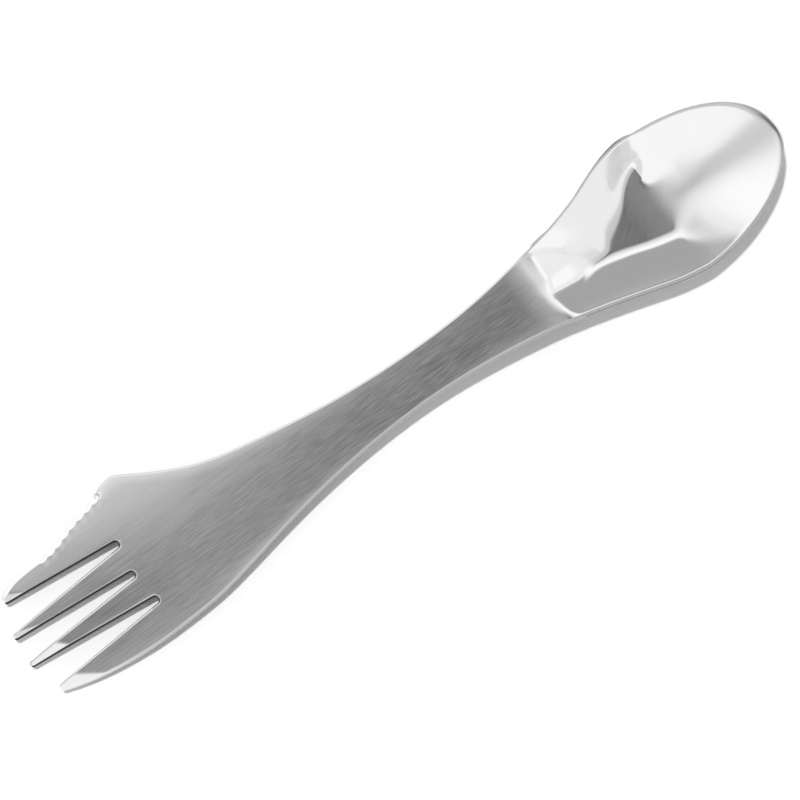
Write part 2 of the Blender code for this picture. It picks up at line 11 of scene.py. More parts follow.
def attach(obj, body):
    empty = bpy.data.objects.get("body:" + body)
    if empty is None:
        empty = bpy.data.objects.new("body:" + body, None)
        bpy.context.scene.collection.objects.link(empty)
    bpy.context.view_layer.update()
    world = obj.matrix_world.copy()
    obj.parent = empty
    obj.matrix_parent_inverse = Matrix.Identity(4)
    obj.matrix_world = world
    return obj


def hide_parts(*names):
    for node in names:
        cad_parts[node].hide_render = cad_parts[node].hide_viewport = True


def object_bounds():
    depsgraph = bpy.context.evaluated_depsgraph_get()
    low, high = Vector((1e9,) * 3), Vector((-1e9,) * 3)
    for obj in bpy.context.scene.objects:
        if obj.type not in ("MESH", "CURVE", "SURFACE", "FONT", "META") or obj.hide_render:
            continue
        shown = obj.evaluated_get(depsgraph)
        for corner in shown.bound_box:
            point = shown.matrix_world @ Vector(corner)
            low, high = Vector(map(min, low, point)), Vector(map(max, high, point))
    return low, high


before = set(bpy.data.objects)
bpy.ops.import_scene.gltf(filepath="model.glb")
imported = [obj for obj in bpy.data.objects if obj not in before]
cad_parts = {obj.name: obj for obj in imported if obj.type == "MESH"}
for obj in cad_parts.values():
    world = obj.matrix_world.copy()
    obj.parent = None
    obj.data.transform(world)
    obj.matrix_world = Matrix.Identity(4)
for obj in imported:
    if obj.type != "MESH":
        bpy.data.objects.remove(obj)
cadLow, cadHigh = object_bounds()
mm = 0.001


def toLinear(hexColour):
    channels = [int(hexColour[i:i + 2], 16) / 255 for i in (1, 3, 5)]
    return [c / 12.92 if c <= 0.04045 else ((c + 0.055) / 1.055) ** 2.4 for c in channels] + [1.0]


def addNode(tree, kind, settings=None, links=None):
    # settings are the node's own properties, links its inputs: a value or another node's socket
    node = tree.nodes.new(kind)
    for name, value in (settings or {}).items():
        setattr(node, name, value)
    for name, value in (links or {}).items():
        if isinstance(value, bpy.types.NodeSocket):
            tree.links.new(value, node.inputs[name])
        else:
            node.inputs[name].default_value = value
    return node


def ease(start, end, x):
    # 0 before the start, 1 past the end and smooth between; the start may be the higher of the two
    t = np.clip((x - start) / (end - start), 0.0, 1.0)
    return t * t * (3 - 2 * t)


def smoothMax(a, b, blend):
    # the higher of the two, with the corner where they cross rounded over the blend
    h = np.maximum(blend - np.abs(a - b), 0.0) / blend
    return np.maximum(a, b) + h ** 3 * blend / 6


def smoothMin(a, b, blend):
    return -smoothMax(-a, -b, blend)


def curveThrough(points):
    # natural cubic through the points, so its bend changes evenly
    px, py = [np.array(side, float) for side in zip(*sorted(points))]
    count, step = len(px), np.diff(px)
    left, right = np.zeros((count, count)), np.zeros(count)
    left[0, 0] = left[-1, -1] = 1
    for i in range(1, count - 1):
        left[i, i - 1:i + 2] = step[i - 1], 2 * (step[i - 1] + step[i]), step[i]
        right[i] = 6 * ((py[i + 1] - py[i]) / step[i] - (py[i] - py[i - 1]) / step[i - 1])
    bend = np.linalg.solve(left, right)

    def at(x):
        x = np.asarray(x, float)
        i = np.clip(np.searchsorted(px, x) - 1, 0, count - 2)
        a, b = (px[i + 1] - x) / step[i], (x - px[i]) / step[i]
        bent = (a ** 3 - a) * bend[i] + (b ** 3 - b) * bend[i + 1]
        return a * py[i] + b * py[i + 1] + bent * step[i] ** 2 / 6
    return at


def along(start, end, shares):
    # the two ends, and between them points at shares of the way along and of the way out
    length, rise = end[0] - start[0], end[1] - start[1]
    return [start] + [(start[0] + p * length, start[1] + r * rise) for p, r in shares] + [end]


# Outline of the blank. Points are (place along X from mid-length, reach out from the axis); the flares and
# edges between them are (share of the way along, share of the way out).
outline = {
    "tip": -100.0, "nose": 100.0,
    "neckPlace": 8.0, "neckKnife": 6.2, "neckPlain": 5.28,
    "horn": (-64.1, 22.29), "knifeFoot": (-67.4, 21.24), "knifeTip": (-96.9, 14.24),
    "palm": (-73.7, 14.04), "plainTip": (-97.7, 10.24), "bowlKnife": (69.0, 17.45), "bowlPlain": (69.0, 16.9),
    "knifeNosePower": 2.24, "plainNosePower": 1.82,  # how square the bowl's end is; 2 is an ellipse
    "hornFlare": [(0.27, 0.053), (0.445, 0.153), (0.59, 0.271), (0.71, 0.392), (0.80, 0.544),
                  (0.887, 0.751), (0.945, 0.912), (0.975, 0.987)],
    "palmFlare": [(0.21, 0.010), (0.40, 0.189), (0.56, 0.441), (0.71, 0.737), (0.82, 0.914), (0.91, 0.977)],
    "knife": [(0.12, 0.131), (0.26, 0.253), (0.40, 0.450), (0.54, 0.612), (0.70, 0.667), (0.84, 0.720),
              (0.92, 0.812)],
    "plainTine": [(0.42, 0.183), (0.77, 0.578)],
    "bowlKnifeFlare": [(0.105, 0.010), (0.31, 0.107), (0.515, 0.283), (0.654, 0.444), (0.794, 0.691),
                       (0.865, 0.842), (0.935, 0.945)],
    "bowlPlainFlare": [(0.10, 0.040), (0.30, 0.171), (0.47, 0.327), (0.64, 0.547), (0.78, 0.753),
                       (0.88, 0.900), (0.95, 0.966)],
    "slotPitch": 7.43, "middleSlot": 1.65, "slotRoots": [-69.9, -70.9, -69.9], "slotRound": 0.8,
    "slotHalfAngles": [4.9, 3.9, 4.9], "slotLean": -0.4,
    "tineEnds": [-97.7, -100.0, -99.6, -96.9], "tineCorner": 0.55,
    "slopeStep": 0.02,  # the outline's slope is taken over this step
}
tines = range(len(outline["tineEnds"]))  # counted from the plain side, and so are the slots
knifeTine = tines[-1]
knifeSide = curveThrough(along(outline["knifeFoot"], outline["knifeTip"], outline["knife"]))
knifeNeck = (outline["neckPlace"], outline["neckKnife"])
plainNeck = (outline["neckPlace"], outline["neckPlain"])
handleSide = curveThrough(along(knifeNeck, outline["horn"], outline["hornFlare"])
                          + along(knifeNeck, outline["bowlKnife"], outline["bowlKnifeFlare"])[1:]
                          + [outline["knifeFoot"]])
plainSide = curveThrough(along(plainNeck, outline["palm"], outline["palmFlare"])
                         + along(plainNeck, outline["bowlPlain"], outline["bowlPlainFlare"])[1:]
                         + along(outline["palm"], outline["plainTip"], outline["plainTine"])[1:])


def knifeReach(x):
    return np.where(x < outline["knifeFoot"][0], knifeSide(x), handleSide(x))


# Pressed form: the sheet rises along its length, then folds down into the hollow of the bowl. A pair of
# numbers named for a side runs across the sheet, from -Y to +Y.
pressed = {
    "sheet": 1.8, "edgeRound": 0.4, "crownRadius": 480.0, "palmOffset": 3.2,
    # height of the underside: (place along X, height)
    "rises": [(-100, 0.10), (-95, 0.03), (-88, 0.0), (-79, 0.10), (-71, 0.30), (-62, 0.62), (-54, 0.98),
              (-45, 1.42), (-30, 2.20), (0, 3.80), (31, 5.45), (50, 6.05), (75, 6.15), (100, 5.75)],
    # the handle dips before the fold: from, over, how strongly, gone by; least share, and its side
    "shoulder": (30.0, 7.8, 0.0054, 50.0), "shoulderSide": (0.2, -7.0, -1.5),
    # edges of the handle that the press rolled down: (place along X, depth); their end, from the fold
    "rollWidth": 3.0, "rollEnd": (2.0, -6.0),
    "knifeRoll": [(-66, 0.09), (-48, 0.05), (-26, 0.03), (0, 0.01), (26, 0.0)],
    "plainRoll": [(-62, 0.0), (-50, 0.05), (-26, 0.04), (0, 0.0), (22, 0.03), (35, 0.0)],
    # the fold's place, how far before it the hollow may start, its step on the knife side, its blends on
    # both sides, and its bow: (reach, shift along X), which fades out along the ramps
    "fold": 36.2, "foldStart": 9.0, "foldStep": 1.0, "foldStepSide": (-1.5, 2.5),
    "foldBlends": (1.3, 2.4), "foldBlendSide": (-2.0, 1.0),
    "foldBow": [(-8, 0.3), (-6, 0.0), (-4, -0.2), (-1.8, -0.4), (0, 0.3), (2, 0.2), (4, 0.0)],
    "foldBowSoft": 0.8, "foldBowRun": 18.0,
    # two ramps meet in a valley and run down to the floor: degrees, and how far they lean across
    "knifeRamp": 24.8, "plainRamp": 25.6, "valley": 0.3, "valleyBlend": 0.9,
    "knifeSweep": 0.125, "plainSweep": 0.10, "sweepRun": (-2.0, 10.0),
    "floorToe": (62.0, 0.0028), "rampBlend": 3.0,  # toe: from where the floor bends up, and how strongly
    # fall of the walls for each millimetre in from the rim, and the blend of their creases
    "wallSide": (-1.5, 1.5), "plainWall": 0.70, "plainWallBend": 0.0095, "plainCrease": 1.0,
    "knifeWall": [(38, 1.4), (42, 1.05), (46, 0.72), (52.4, 0.62), (56, 0.80), (60.4, 0.84), (62.8, 0.91),
                  (65, 1.10), (68.3, 1.38), (71, 1.45)],
    "knifeCrease": [(38, 1.2), (44, 2.6), (50, 3.4), (58, 3.0), (63, 2.8), (67, 2.2), (70, 1.4), (75, 1.6)],
    "lip": 0.5, "lipBlend": 0.4, "lipRun": 5.0,  # the level rim round the hollow
    # where the floor and the walls turn up into the rounded nose: (reach, place along X)
    "turnUp": [(-17, 73.6), (-6.5, 67.6), (-1, 69.6), (5, 69.7), (12, 70.6), (17.5, 71.5)],
    "turnUpRuns": (8.0, 4.0), "crispSide": (6.0, 9.5),
    "noseMiddle": 1.4, "noseCup": 0.35, "nosePower": 1.2,
}
riseAt = curveThrough(pressed["rises"])


def palmMiddle(x):
    return pressed["palmOffset"] * ease(outline["neckPlace"], outline["horn"][0], x)


def lowestEdge(samples=400):
    # the fork's lower edges touch the table first, so their lowest point is height 0
    x = np.linspace(outline["tip"], 0.0, samples)
    reach = np.maximum(knifeReach(x) - palmMiddle(x), plainSide(x) + palmMiddle(x)) - pressed["edgeRound"]
    return (riseAt(x) - reach ** 2 / (2 * pressed["crownRadius"])).min()


lowestRise = lowestEdge()


def sheetHeight(x, y):
    off = y - palmMiddle(x)
    start, length, bend, end = pressed["shoulder"]
    least, weak, full = pressed["shoulderSide"]
    bend = bend * (least + (1 - least) * ease(weak, full, y))
    shoulder = bend * np.clip(x - start, 0, length) ** 2 * (1 - ease(start + length, end, x))
    crown = off ** 2 / (2 * pressed["crownRadius"])
    return riseAt(x) - lowestRise + pressed["sheet"] - crown - shoulder


def noseRing(x, y):
    # 1 on the bowl's rounded outline ahead of its widest place, 0 at the middle of that line
    power = np.where(y > 0, outline["knifeNosePower"], outline["plainNosePower"])
    ahead = np.maximum(x - outline["bowlKnife"][0], 0.0) / (outline["nose"] - outline["bowlKnife"][0])
    across = np.abs(y) / np.where(y > 0, outline["bowlKnife"][1], outline["bowlPlain"][1])
    return ahead, across, power, np.maximum((ahead ** power + across ** power) ** (1 / power), 1e-6)


def rimDistance(x, y):
    # distance in from the bowl's outline, nearly square to it
    bowl, step = outline["bowlKnife"][0], outline["slopeStep"]
    before = np.minimum(x, bowl - step)
    sides = []
    for side, sign in ((handleSide, 1), (plainSide, -1)):
        slope = (side(before + step) - side(before)) / step
        sides.append((side(before) - sign * y) / np.sqrt(1 + slope ** 2))
    ahead, across, power, ring = noseRing(x, y)
    reach = np.where(y > 0, outline["bowlKnife"][1], outline["bowlPlain"][1])
    pull = np.hypot((ahead / ring) ** (power - 1) / (outline["nose"] - bowl),
                    (across / ring) ** (power - 1) / reach)
    return np.where(x < bowl, np.minimum(*sides), (1 - ring) / (pull + 1e-9)) - pressed["lip"]


def softTable(table, x, reach=1.2):
    # a table read between its rows, its corners softened over the reach
    places, values = zip(*table)
    return sum(weight * np.interp(x + shift * reach, places, values)
               for shift, weight in ((-1, 0.25), (0, 0.5), (1, 0.25)))


def noseHeight(x, y):
    # the rounded end of the bowl, cupped about a line a little to the knife side
    s = pressed
    ring = noseRing(x, y)[3]
    ring = noseRing(x, y - s["noseMiddle"] * np.clip(1 - ring, 0, 1))[3]
    ring = ring * (1 + s["lip"] / outline["bowlPlain"][1])
    cup, power = s["noseCup"], s["nosePower"]
    full = (1 + cup ** 2) ** (power / 2) - cup ** power
    share = ((ring ** 2 + cup ** 2) ** (power / 2) - cup ** power) / full
    return s["sheet"] + (sheetHeight(x, y) - s["sheet"]) * share


def foldStepAt(y):
    return pressed["foldStep"] * ease(*pressed["foldStepSide"], y)


def hollowHeight(x, y):
    s = pressed
    crest = sheetHeight(s["fold"], 0.0)
    run, off = x - s["fold"], y - s["valley"]
    run = run - softTable(s["foldBow"], y, s["foldBowSoft"]) * ease(s["foldBowRun"], 0, run)
    knifeRun = run - foldStepAt(y)
    knifeRamp = crest - math.tan(math.radians(s["knifeRamp"])) * knifeRun
    knifeRamp = knifeRamp + s["knifeSweep"] * off * ease(*s["sweepRun"], knifeRun)
    plainRamp = crest - math.tan(math.radians(s["plainRamp"])) * run - s["plainSweep"] * off
    ramp = smoothMax(knifeRamp, plainRamp, s["valleyBlend"])
    toeStart, toeBend = s["floorToe"]
    floor = smoothMax(s["sheet"] + toeBend * np.maximum(x - toeStart, 0) ** 2, ramp, s["rampBlend"])
    knifeHalf, inside = ease(*s["wallSide"], y), rimDistance(x, y)
    plainFall = s["plainWall"] * inside - s["plainWallBend"] * inside ** 2 * (inside > 0)
    fall = plainFall + (softTable(s["knifeWall"], x) * inside - plainFall) * knifeHalf
    blend = s["plainCrease"] + (softTable(s["knifeCrease"], x) - s["plainCrease"]) * knifeHalf
    back = smoothMax(floor, sheetHeight(x, y) - fall, blend)
    softRun, crispRun = s["turnUpRuns"]
    start = softTable(s["turnUp"], y)
    soft, crisp = ease(start, start + softRun, x), 1 - (1 - np.clip((x - start) / crispRun, 0, 1)) ** 2
    return back + (noseHeight(x, y) - back) * (soft + (crisp - soft) * ease(*s["crispSide"], y))


def topHeight(x, y):
    # the sheet with its rolled edges, and the hollow pressed into it from the fold on
    fold, (crisp, soft) = pressed["fold"], pressed["foldBlends"]
    blend = crisp + (soft - crisp) * ease(*pressed["foldBlendSide"], y)
    blend = blend + (pressed["lipBlend"] - blend) * ease(fold, fold + pressed["lipRun"], x)
    sheet = sheetHeight(x, y)
    width, (gone, full) = pressed["rollWidth"], pressed["rollEnd"]
    knifeGap = np.where(x > outline["knifeFoot"][0], handleSide(x) - y, width)
    for gap, table in ((knifeGap, pressed["knifeRoll"]), (plainSide(x) + y, pressed["plainRoll"])):
        roll = softTable(table, x) * np.clip(1 - gap / width, 0, 1) ** 2
        sheet = sheet - roll * ease(fold + gone, fold + full, x)
    return np.where(x < fold - pressed["foldStart"], sheet, smoothMin(sheet, hollowHeight(x, y), blend))


def surfaceNormal(x, y, step=0.05):
    slopeX = (topHeight(x + step, y) - topHeight(x - step, y)) / (2 * step)
    slopeY = (topHeight(x, y + step) - topHeight(x, y - step)) / (2 * step)
    normal = np.stack([-slopeX, -slopeY, np.ones_like(slopeX)], axis=1)
    return normal / np.linalg.norm(normal, axis=1)[:, None]


# Ground places: the toothed knife edge with its bevel, and the tine ends
ground = {
    "toothPitch": 2.35, "toothDepth": 0.4, "toothCount": 8, "gulletFade": 2.5,  # fade: in grind widths
    "grindWidth": 1.2, "edgeLeft": 0.4, "knifeRound": 0.15,
    "taperPlace": -80.0, "taperLength": 20.0, "taper": 0.3, "taperPower": 2.0,
    # each tine's end facet: a point where it starts, and the way it falls, in degrees from -X towards -Y
    "tipFacets": [(-93.2, -9.0, 56.0), (-93.3, -0.4, 45.0), (-97.4, 5.6, 73.3), (-96.3, 14.4, 61.6)],
    "tipSlope": 0.185, "facetsPast": -78.0,
    "sharpAngle": 32.0,  # faces that meet at more than this stay crisp
}

# Flat blank: rows of faces across the sheet, split into tines by the slots
grid = {
    "tineColumns": [20, 16, 20, 30], "bevelColumns": 5, "tipStep": 0.45, "cornerRows": 4, "rootRows": 8,
    "baseRows": 8, "baseTeeth": 1.5, "rowsPerTooth": 7, "hornRows": 14, "handleRows": 92,
    "foldRows": 40, "foldZone": (-7.0, 5.0), "bowlRows": 100, "noseRows": 66, "noseEndShare": 0.42,
    "roundSteps": 4, "closestRows": 0.09,
    "rimCrowding": 1.6, "crowdingRun": 8.0,  # the bowl's columns crowd towards its rims
}


def slotMiddle(slot, x):
    root = outline["slotRoots"][slot]
    start = outline["middleSlot"] + (slot - 1) * outline["slotPitch"]
    return start - (root - np.minimum(x, root)) * math.tan(math.radians(outline["slotLean"]))


def slotHalf(slot, x):
    # half the gap out to where the flat of each tine ends, inside its rounded edge
    radius = outline["slotRound"] + pressed["edgeRound"]
    centre = outline["slotRoots"][slot] - outline["slotRound"]
    angle = math.radians(outline["slotHalfAngles"][slot])
    if x < centre + radius * math.sin(angle):
        return radius / math.cos(angle) + (centre - x) * math.tan(angle)
    return math.sqrt(max(radius ** 2 - (x - centre) ** 2, 0.0))


def rootEnd(slot):
    return outline["slotRoots"][slot] + pressed["edgeRound"]


def innerReach(side, x):
    # the outline drawn in by its edge radius
    onKnife = side is knifeReach and x < outline["knifeFoot"][0]
    inset, step = ground["knifeRound"] if onKnife else pressed["edgeRound"], outline["slopeStep"]
    slope = float(side(x + step) - side(x - step)) / (2 * step)
    return float(side(x)) - inset * math.hypot(1, min(abs(slope), 1))


def stripEdges(tine, x):
    low = -innerReach(plainSide, x) if tine == 0 else slotSide(tine - 1, x, 1)
    high = innerReach(knifeReach, x) if tine == knifeTine else slotSide(tine, x, -1)
    return low, high


def slotSide(slot, x, side):
    if x < rootEnd(slot):
        return slotMiddle(slot, x) + side * slotHalf(slot, x)
    start = rootEnd(slot)  # past the root the slot's line runs on to the bowl
    low, high = -innerReach(plainSide, start), innerReach(knifeReach, start)
    atRoot = (slotMiddle(slot, start) - low) / (high - low)
    below = sum(grid["tineColumns"][:slot + 1]) / sum(grid["tineColumns"])
    share = atRoot + (below - atRoot) * float(ease(start, outline["neckPlace"], x))
    low, high = -innerReach(plainSide, x), innerReach(knifeReach, x)
    return low + share * (high - low)


def columnsAcross(tine, low, high, x):
    count, fold = grid["tineColumns"][tine], pressed["fold"]
    crowd = 1 + (grid["rimCrowding"] - 1) * float(ease(fold - grid["crowdingRun"], fold, x))
    if tine == 0 and crowd > 1:
        return low + (high - low) * np.linspace(0, 1, count + 1) ** crowd
    if tine == knifeTine and crowd > 1:
        return high - (high - low) * np.linspace(1, 0, count + 1) ** crowd
    if tine < knifeTine:
        return np.linspace(low, high, count + 1)
    bevels = grid["bevelColumns"]
    bevel = min(ground["grindWidth"], (high - low) / 2)
    bevel += ((high - low) * bevels / count - bevel) * float(
        ease(outline["knifeFoot"][0], outline["neckPlace"], x))
    return np.concatenate([np.linspace(low, high - bevel, count - bevels + 1)[:-1],
                           np.linspace(high - bevel, high, bevels + 1)])


def rowPlaces():
    g, foot, fold, bowl = grid, outline["knifeFoot"][0], pressed["fold"], outline["bowlKnife"][0]
    toothEnd = foot - ground["toothCount"] * ground["toothPitch"]
    base = toothEnd - g["baseTeeth"] * ground["toothPitch"]
    rows = [np.linspace(base, toothEnd, g["baseRows"] + 1),
            np.linspace(toothEnd, foot, ground["toothCount"] * g["rowsPerTooth"] + 1)]
    radius = outline["slotRound"] + pressed["edgeRound"]
    quarter = np.sin(np.linspace(0, math.pi / 2, g["rootRows"] + 1))
    rows += [rootEnd(slot) - radius * (1 - quarter) for slot in (0, 1)]
    hornEnd, (before, after) = 2 * outline["horn"][0] - foot, g["foldZone"]
    rows += [np.linspace(foot, hornEnd, g["hornRows"] + 1),
             np.linspace(hornEnd, fold + before, g["handleRows"] + 1),
             np.linspace(fold + before, fold + after, g["foldRows"] + 1),
             np.linspace(fold + after, bowl, g["bowlRows"] + 1)]
    kept = [rootEnd(0), rootEnd(1), foot, bowl]
    places = []
    for x in sorted(np.concatenate(rows)):
        if places and x - places[-1] < g["closestRows"]:
            if min(abs(x - k) for k in kept) < 1e-6:
                places[-1] = x
            continue
        places.append(x)
    return places


blank = {"points": [], "radius": [], "knifeShare": [], "gulletShare": [], "faces": []}


def addRow(tine, x, low, high):
    places, foot = columnsAcross(tine, low, high, x), outline["knifeFoot"][0]
    first = len(blank["points"])
    onKnife = tine == knifeTine and x < foot
    bevels, width = grid["bevelColumns"], ground["grindWidth"]
    start = float(ease(foot + width / 2, foot - width / 2, x))
    for i, y in enumerate(places):
        fromEdge = len(places) - 1 - i
        bevelShare = max(1 - fromEdge / bevels, 0.0) if tine == knifeTine else 0.0
        gullet = 1 - float(ease(width, ground["gulletFade"] * width, high - y)) if onKnife else 0.0
        blank["points"].append((x, y))
        blank["radius"].append(ground["knifeRound"] if onKnife and fromEdge == 0 else pressed["edgeRound"])
        blank["knifeShare"].append(bevelShare * start)
        blank["gulletShare"].append(gullet)
    return list(range(first, first + len(places)))


def joinRows(before, after):
    for i in range(len(before) - 1):
        blank["faces"].append((before[i], after[i], after[i + 1], before[i + 1]))


def addTineEnd(tine, base, baseRow):
    end = outline["tineEnds"][tine] + pressed["edgeRound"]
    corner = outline["tineCorner"] - pressed["edgeRound"]
    turns = np.linspace(0, math.pi / 2, grid["cornerRows"] + 1)[:-1]
    rows = max(round((base - end - corner) / grid["tipStep"]), 2)
    before = None
    places = [end + corner * (1 - np.cos(turns)), np.linspace(end + corner, base, rows + 1)[:-1]]
    for x in np.concatenate(places):
        low, high = stripEdges(tine, x)
        into = max(corner - (x - end), 0.0)
        pinch = corner - math.sqrt(max(corner ** 2 - into ** 2, 0.0))
        row = addRow(tine, x, low + pinch, high - pinch)
        if before:
            joinRows(before, row)
        before = row
    joinRows(before, baseRow)


def noseEdge(turn):
    # inner outline of the bowl's rounded end, at a turn from -90 degrees (-Y) to +90 (+Y)
    side, power = (1, outline["knifeNosePower"]) if turn > 0 else (-1, outline["plainNosePower"])
    place, reach = outline["bowlKnife"] if turn > 0 else outline["bowlPlain"]
    depth = outline["nose"] - place
    c, s = abs(math.sin(turn)) ** (2 / power), abs(math.cos(turn)) ** (2 / power)
    out = np.array([s ** (power - 1) / depth, side * c ** (power - 1) / reach])
    return np.array([place + depth * s, side * reach * c]) - pressed["edgeRound"] * out / np.linalg.norm(out)


def addNose(firstRow):
    # rows that bend from straight across the bowl to its rounded end
    count = len(firstRow) - 1
    t = np.linspace(0, 1, count + 1)[:, None]
    across = np.array([blank["points"][i] for i in firstRow])
    lastTurn = grid["noseEndShare"] * math.pi / 2
    end = np.array([noseEdge(lastTurn * (2 * i / count - 1)) for i in range(count + 1)])
    before = firstRow
    for r in range(1, grid["noseRows"] + 1):
        s = r / grid["noseRows"]
        turn = math.pi / 2 + (lastTurn - math.pi / 2) * s
        low, high = noseEdge(-turn), noseEdge(turn)
        row = (1 - t) * low + t * high + (1 - s) * across + s * end
        row -= (1 - s) * ((1 - t) * across[0] + t * across[-1]) + s * ((1 - t) * end[0] + t * end[-1])
        first = len(blank["points"])
        for name, value in (("radius", pressed["edgeRound"]), ("knifeShare", 0.0), ("gulletShare", 0.0)):
            blank[name] += [value] * (count + 1)
        blank["points"] += [tuple(p) for p in row]
        joinRows(before, list(range(first, first + count + 1)))
        before = list(range(first, first + count + 1))


def layOutBlank():
    places, last = rowPlaces(), None
    for x in places:
        strips = []
        for tine in tines:
            strip = addRow(tine, x, *stripEdges(tine, x))
            if tine and x >= rootEnd(tine - 1) - 1e-6:
                strip[0] = strips[-1][-1]
            strips.append(strip)
        if last is None:
            firstStrips = strips
        else:
            for before, after in zip(last, strips):
                joinRows(before, after)
        last = strips
    for tine in tines:
        addTineEnd(tine, places[0], firstStrips[tine])
    addNose(last[0] + [i for strip in last[1:] for i in strip[1:]])


def outlineLoop(faces):
    # points of the free edge, in order round the blank
    sides = {(f[i], f[(i + 1) % 4]) for f in faces for i in range(4)}
    follow = {a: b for a, b in sides if (b, a) not in sides}
    loop = [next(iter(follow))]
    while follow[loop[-1]] != loop[0]:
        loop.append(follow[loop[-1]])
    return np.array(loop)


# Marks, as shares of a full mark: painted shade on the cut edge walls, set by the way that each wall faces,
# and dull patches where the press slid, on the shoulder before the fold and where the bowl turns up
marks = {
    # slot walls: how far past the roots and inside the rim they count; then the roots themselves
    "slotPast": 1.0, "rimInside": 1.0, "slotFacing": (0.1, -0.5),
    "slotRoot": 0.9, "rootSpan": (2.5, 12.0), "rootFacing": (0.3, -0.3),
    "knifeRim": 0.35, "knifeRimAlong": (30.0, 45.0), "knifeRimFacing": (0.1, 0.5),
    "plainRim": 0.5, "plainRimAlong": (-96.0, -70.0), "plainRimFacing": (-0.1, -0.5),
    "bandTurn": 2.4,  # how soon the band is full, going round the edge
    "shoulder": 0.4, "shoulderAlong": (30.0, 35.0), "shoulderGone": (1.1, 0.3),
    "turnUp": 0.85, "turnUpAlong": (67.0, 73.5), "turnUpGone": (86.0, 73.0), "turnUpSide": (9.5, 5.0),
}


def paintedShadeShare(ring, out):
    # the painted shade at each point of the blank's edge, full on walls that face one way; out is the way
    # that the edge faces there
    x, y, (outX, outY) = ring[:, 0], ring[:, 1], out.T
    inSlot = x < max(outline["slotRoots"]) + marks["slotPast"]
    inSlot &= (outY < 0) & (y > -plainSide(x) + marks["rimInside"])
    rootLong, rootWide = marks["rootSpan"]
    atRoot = (np.abs(x - outline["slotRoots"][0]) < rootLong) & (np.abs(y) < rootWide)
    return np.maximum.reduce([
        inSlot * ease(*marks["slotFacing"], outY),
        marks["slotRoot"] * atRoot * ease(*marks["rootFacing"], outX),
        marks["knifeRim"] * ease(*marks["knifeRimAlong"], x) * ease(*marks["knifeRimFacing"], outY),
        marks["plainRim"] * ease(*marks["plainRimAlong"], x) * ease(*marks["plainRimFacing"], outY)])


def rubbedShare(x, y):
    fold, (start, end) = pressed["fold"] + foldStepAt(y), marks["shoulderGone"]
    shoulder = ease(*marks["shoulderAlong"], x) * ease(fold + start, fold + end, x)
    turnUp = ease(*marks["turnUpAlong"], x) * ease(*marks["turnUpGone"], x) * ease(*marks["turnUpSide"], y)
    return marks["shoulder"] * shoulder + marks["turnUp"] * turnUp


def facetDistance(x, y):
    # how far each point lies past the upper edge of its tine's ground facet
    past = np.zeros(len(x))
    middles = [slotMiddle(slot, x) for slot in range(len(outline["slotRoots"]))]
    lows, highs = [np.full(len(x), -np.inf)] + middles, middles + [np.full(len(x), np.inf)]
    for (placeX, placeY, angle), low, high in zip(ground["tipFacets"], lows, highs):
        onTine = (x < ground["facetsPast"]) & (y > low) & (y < high)
        fall = math.radians(angle)
        distance = (placeX - x) * math.cos(fall) + (placeY - y) * math.sin(fall)
        past = np.where(onTine, np.maximum(distance, 0.0), past)
    return past


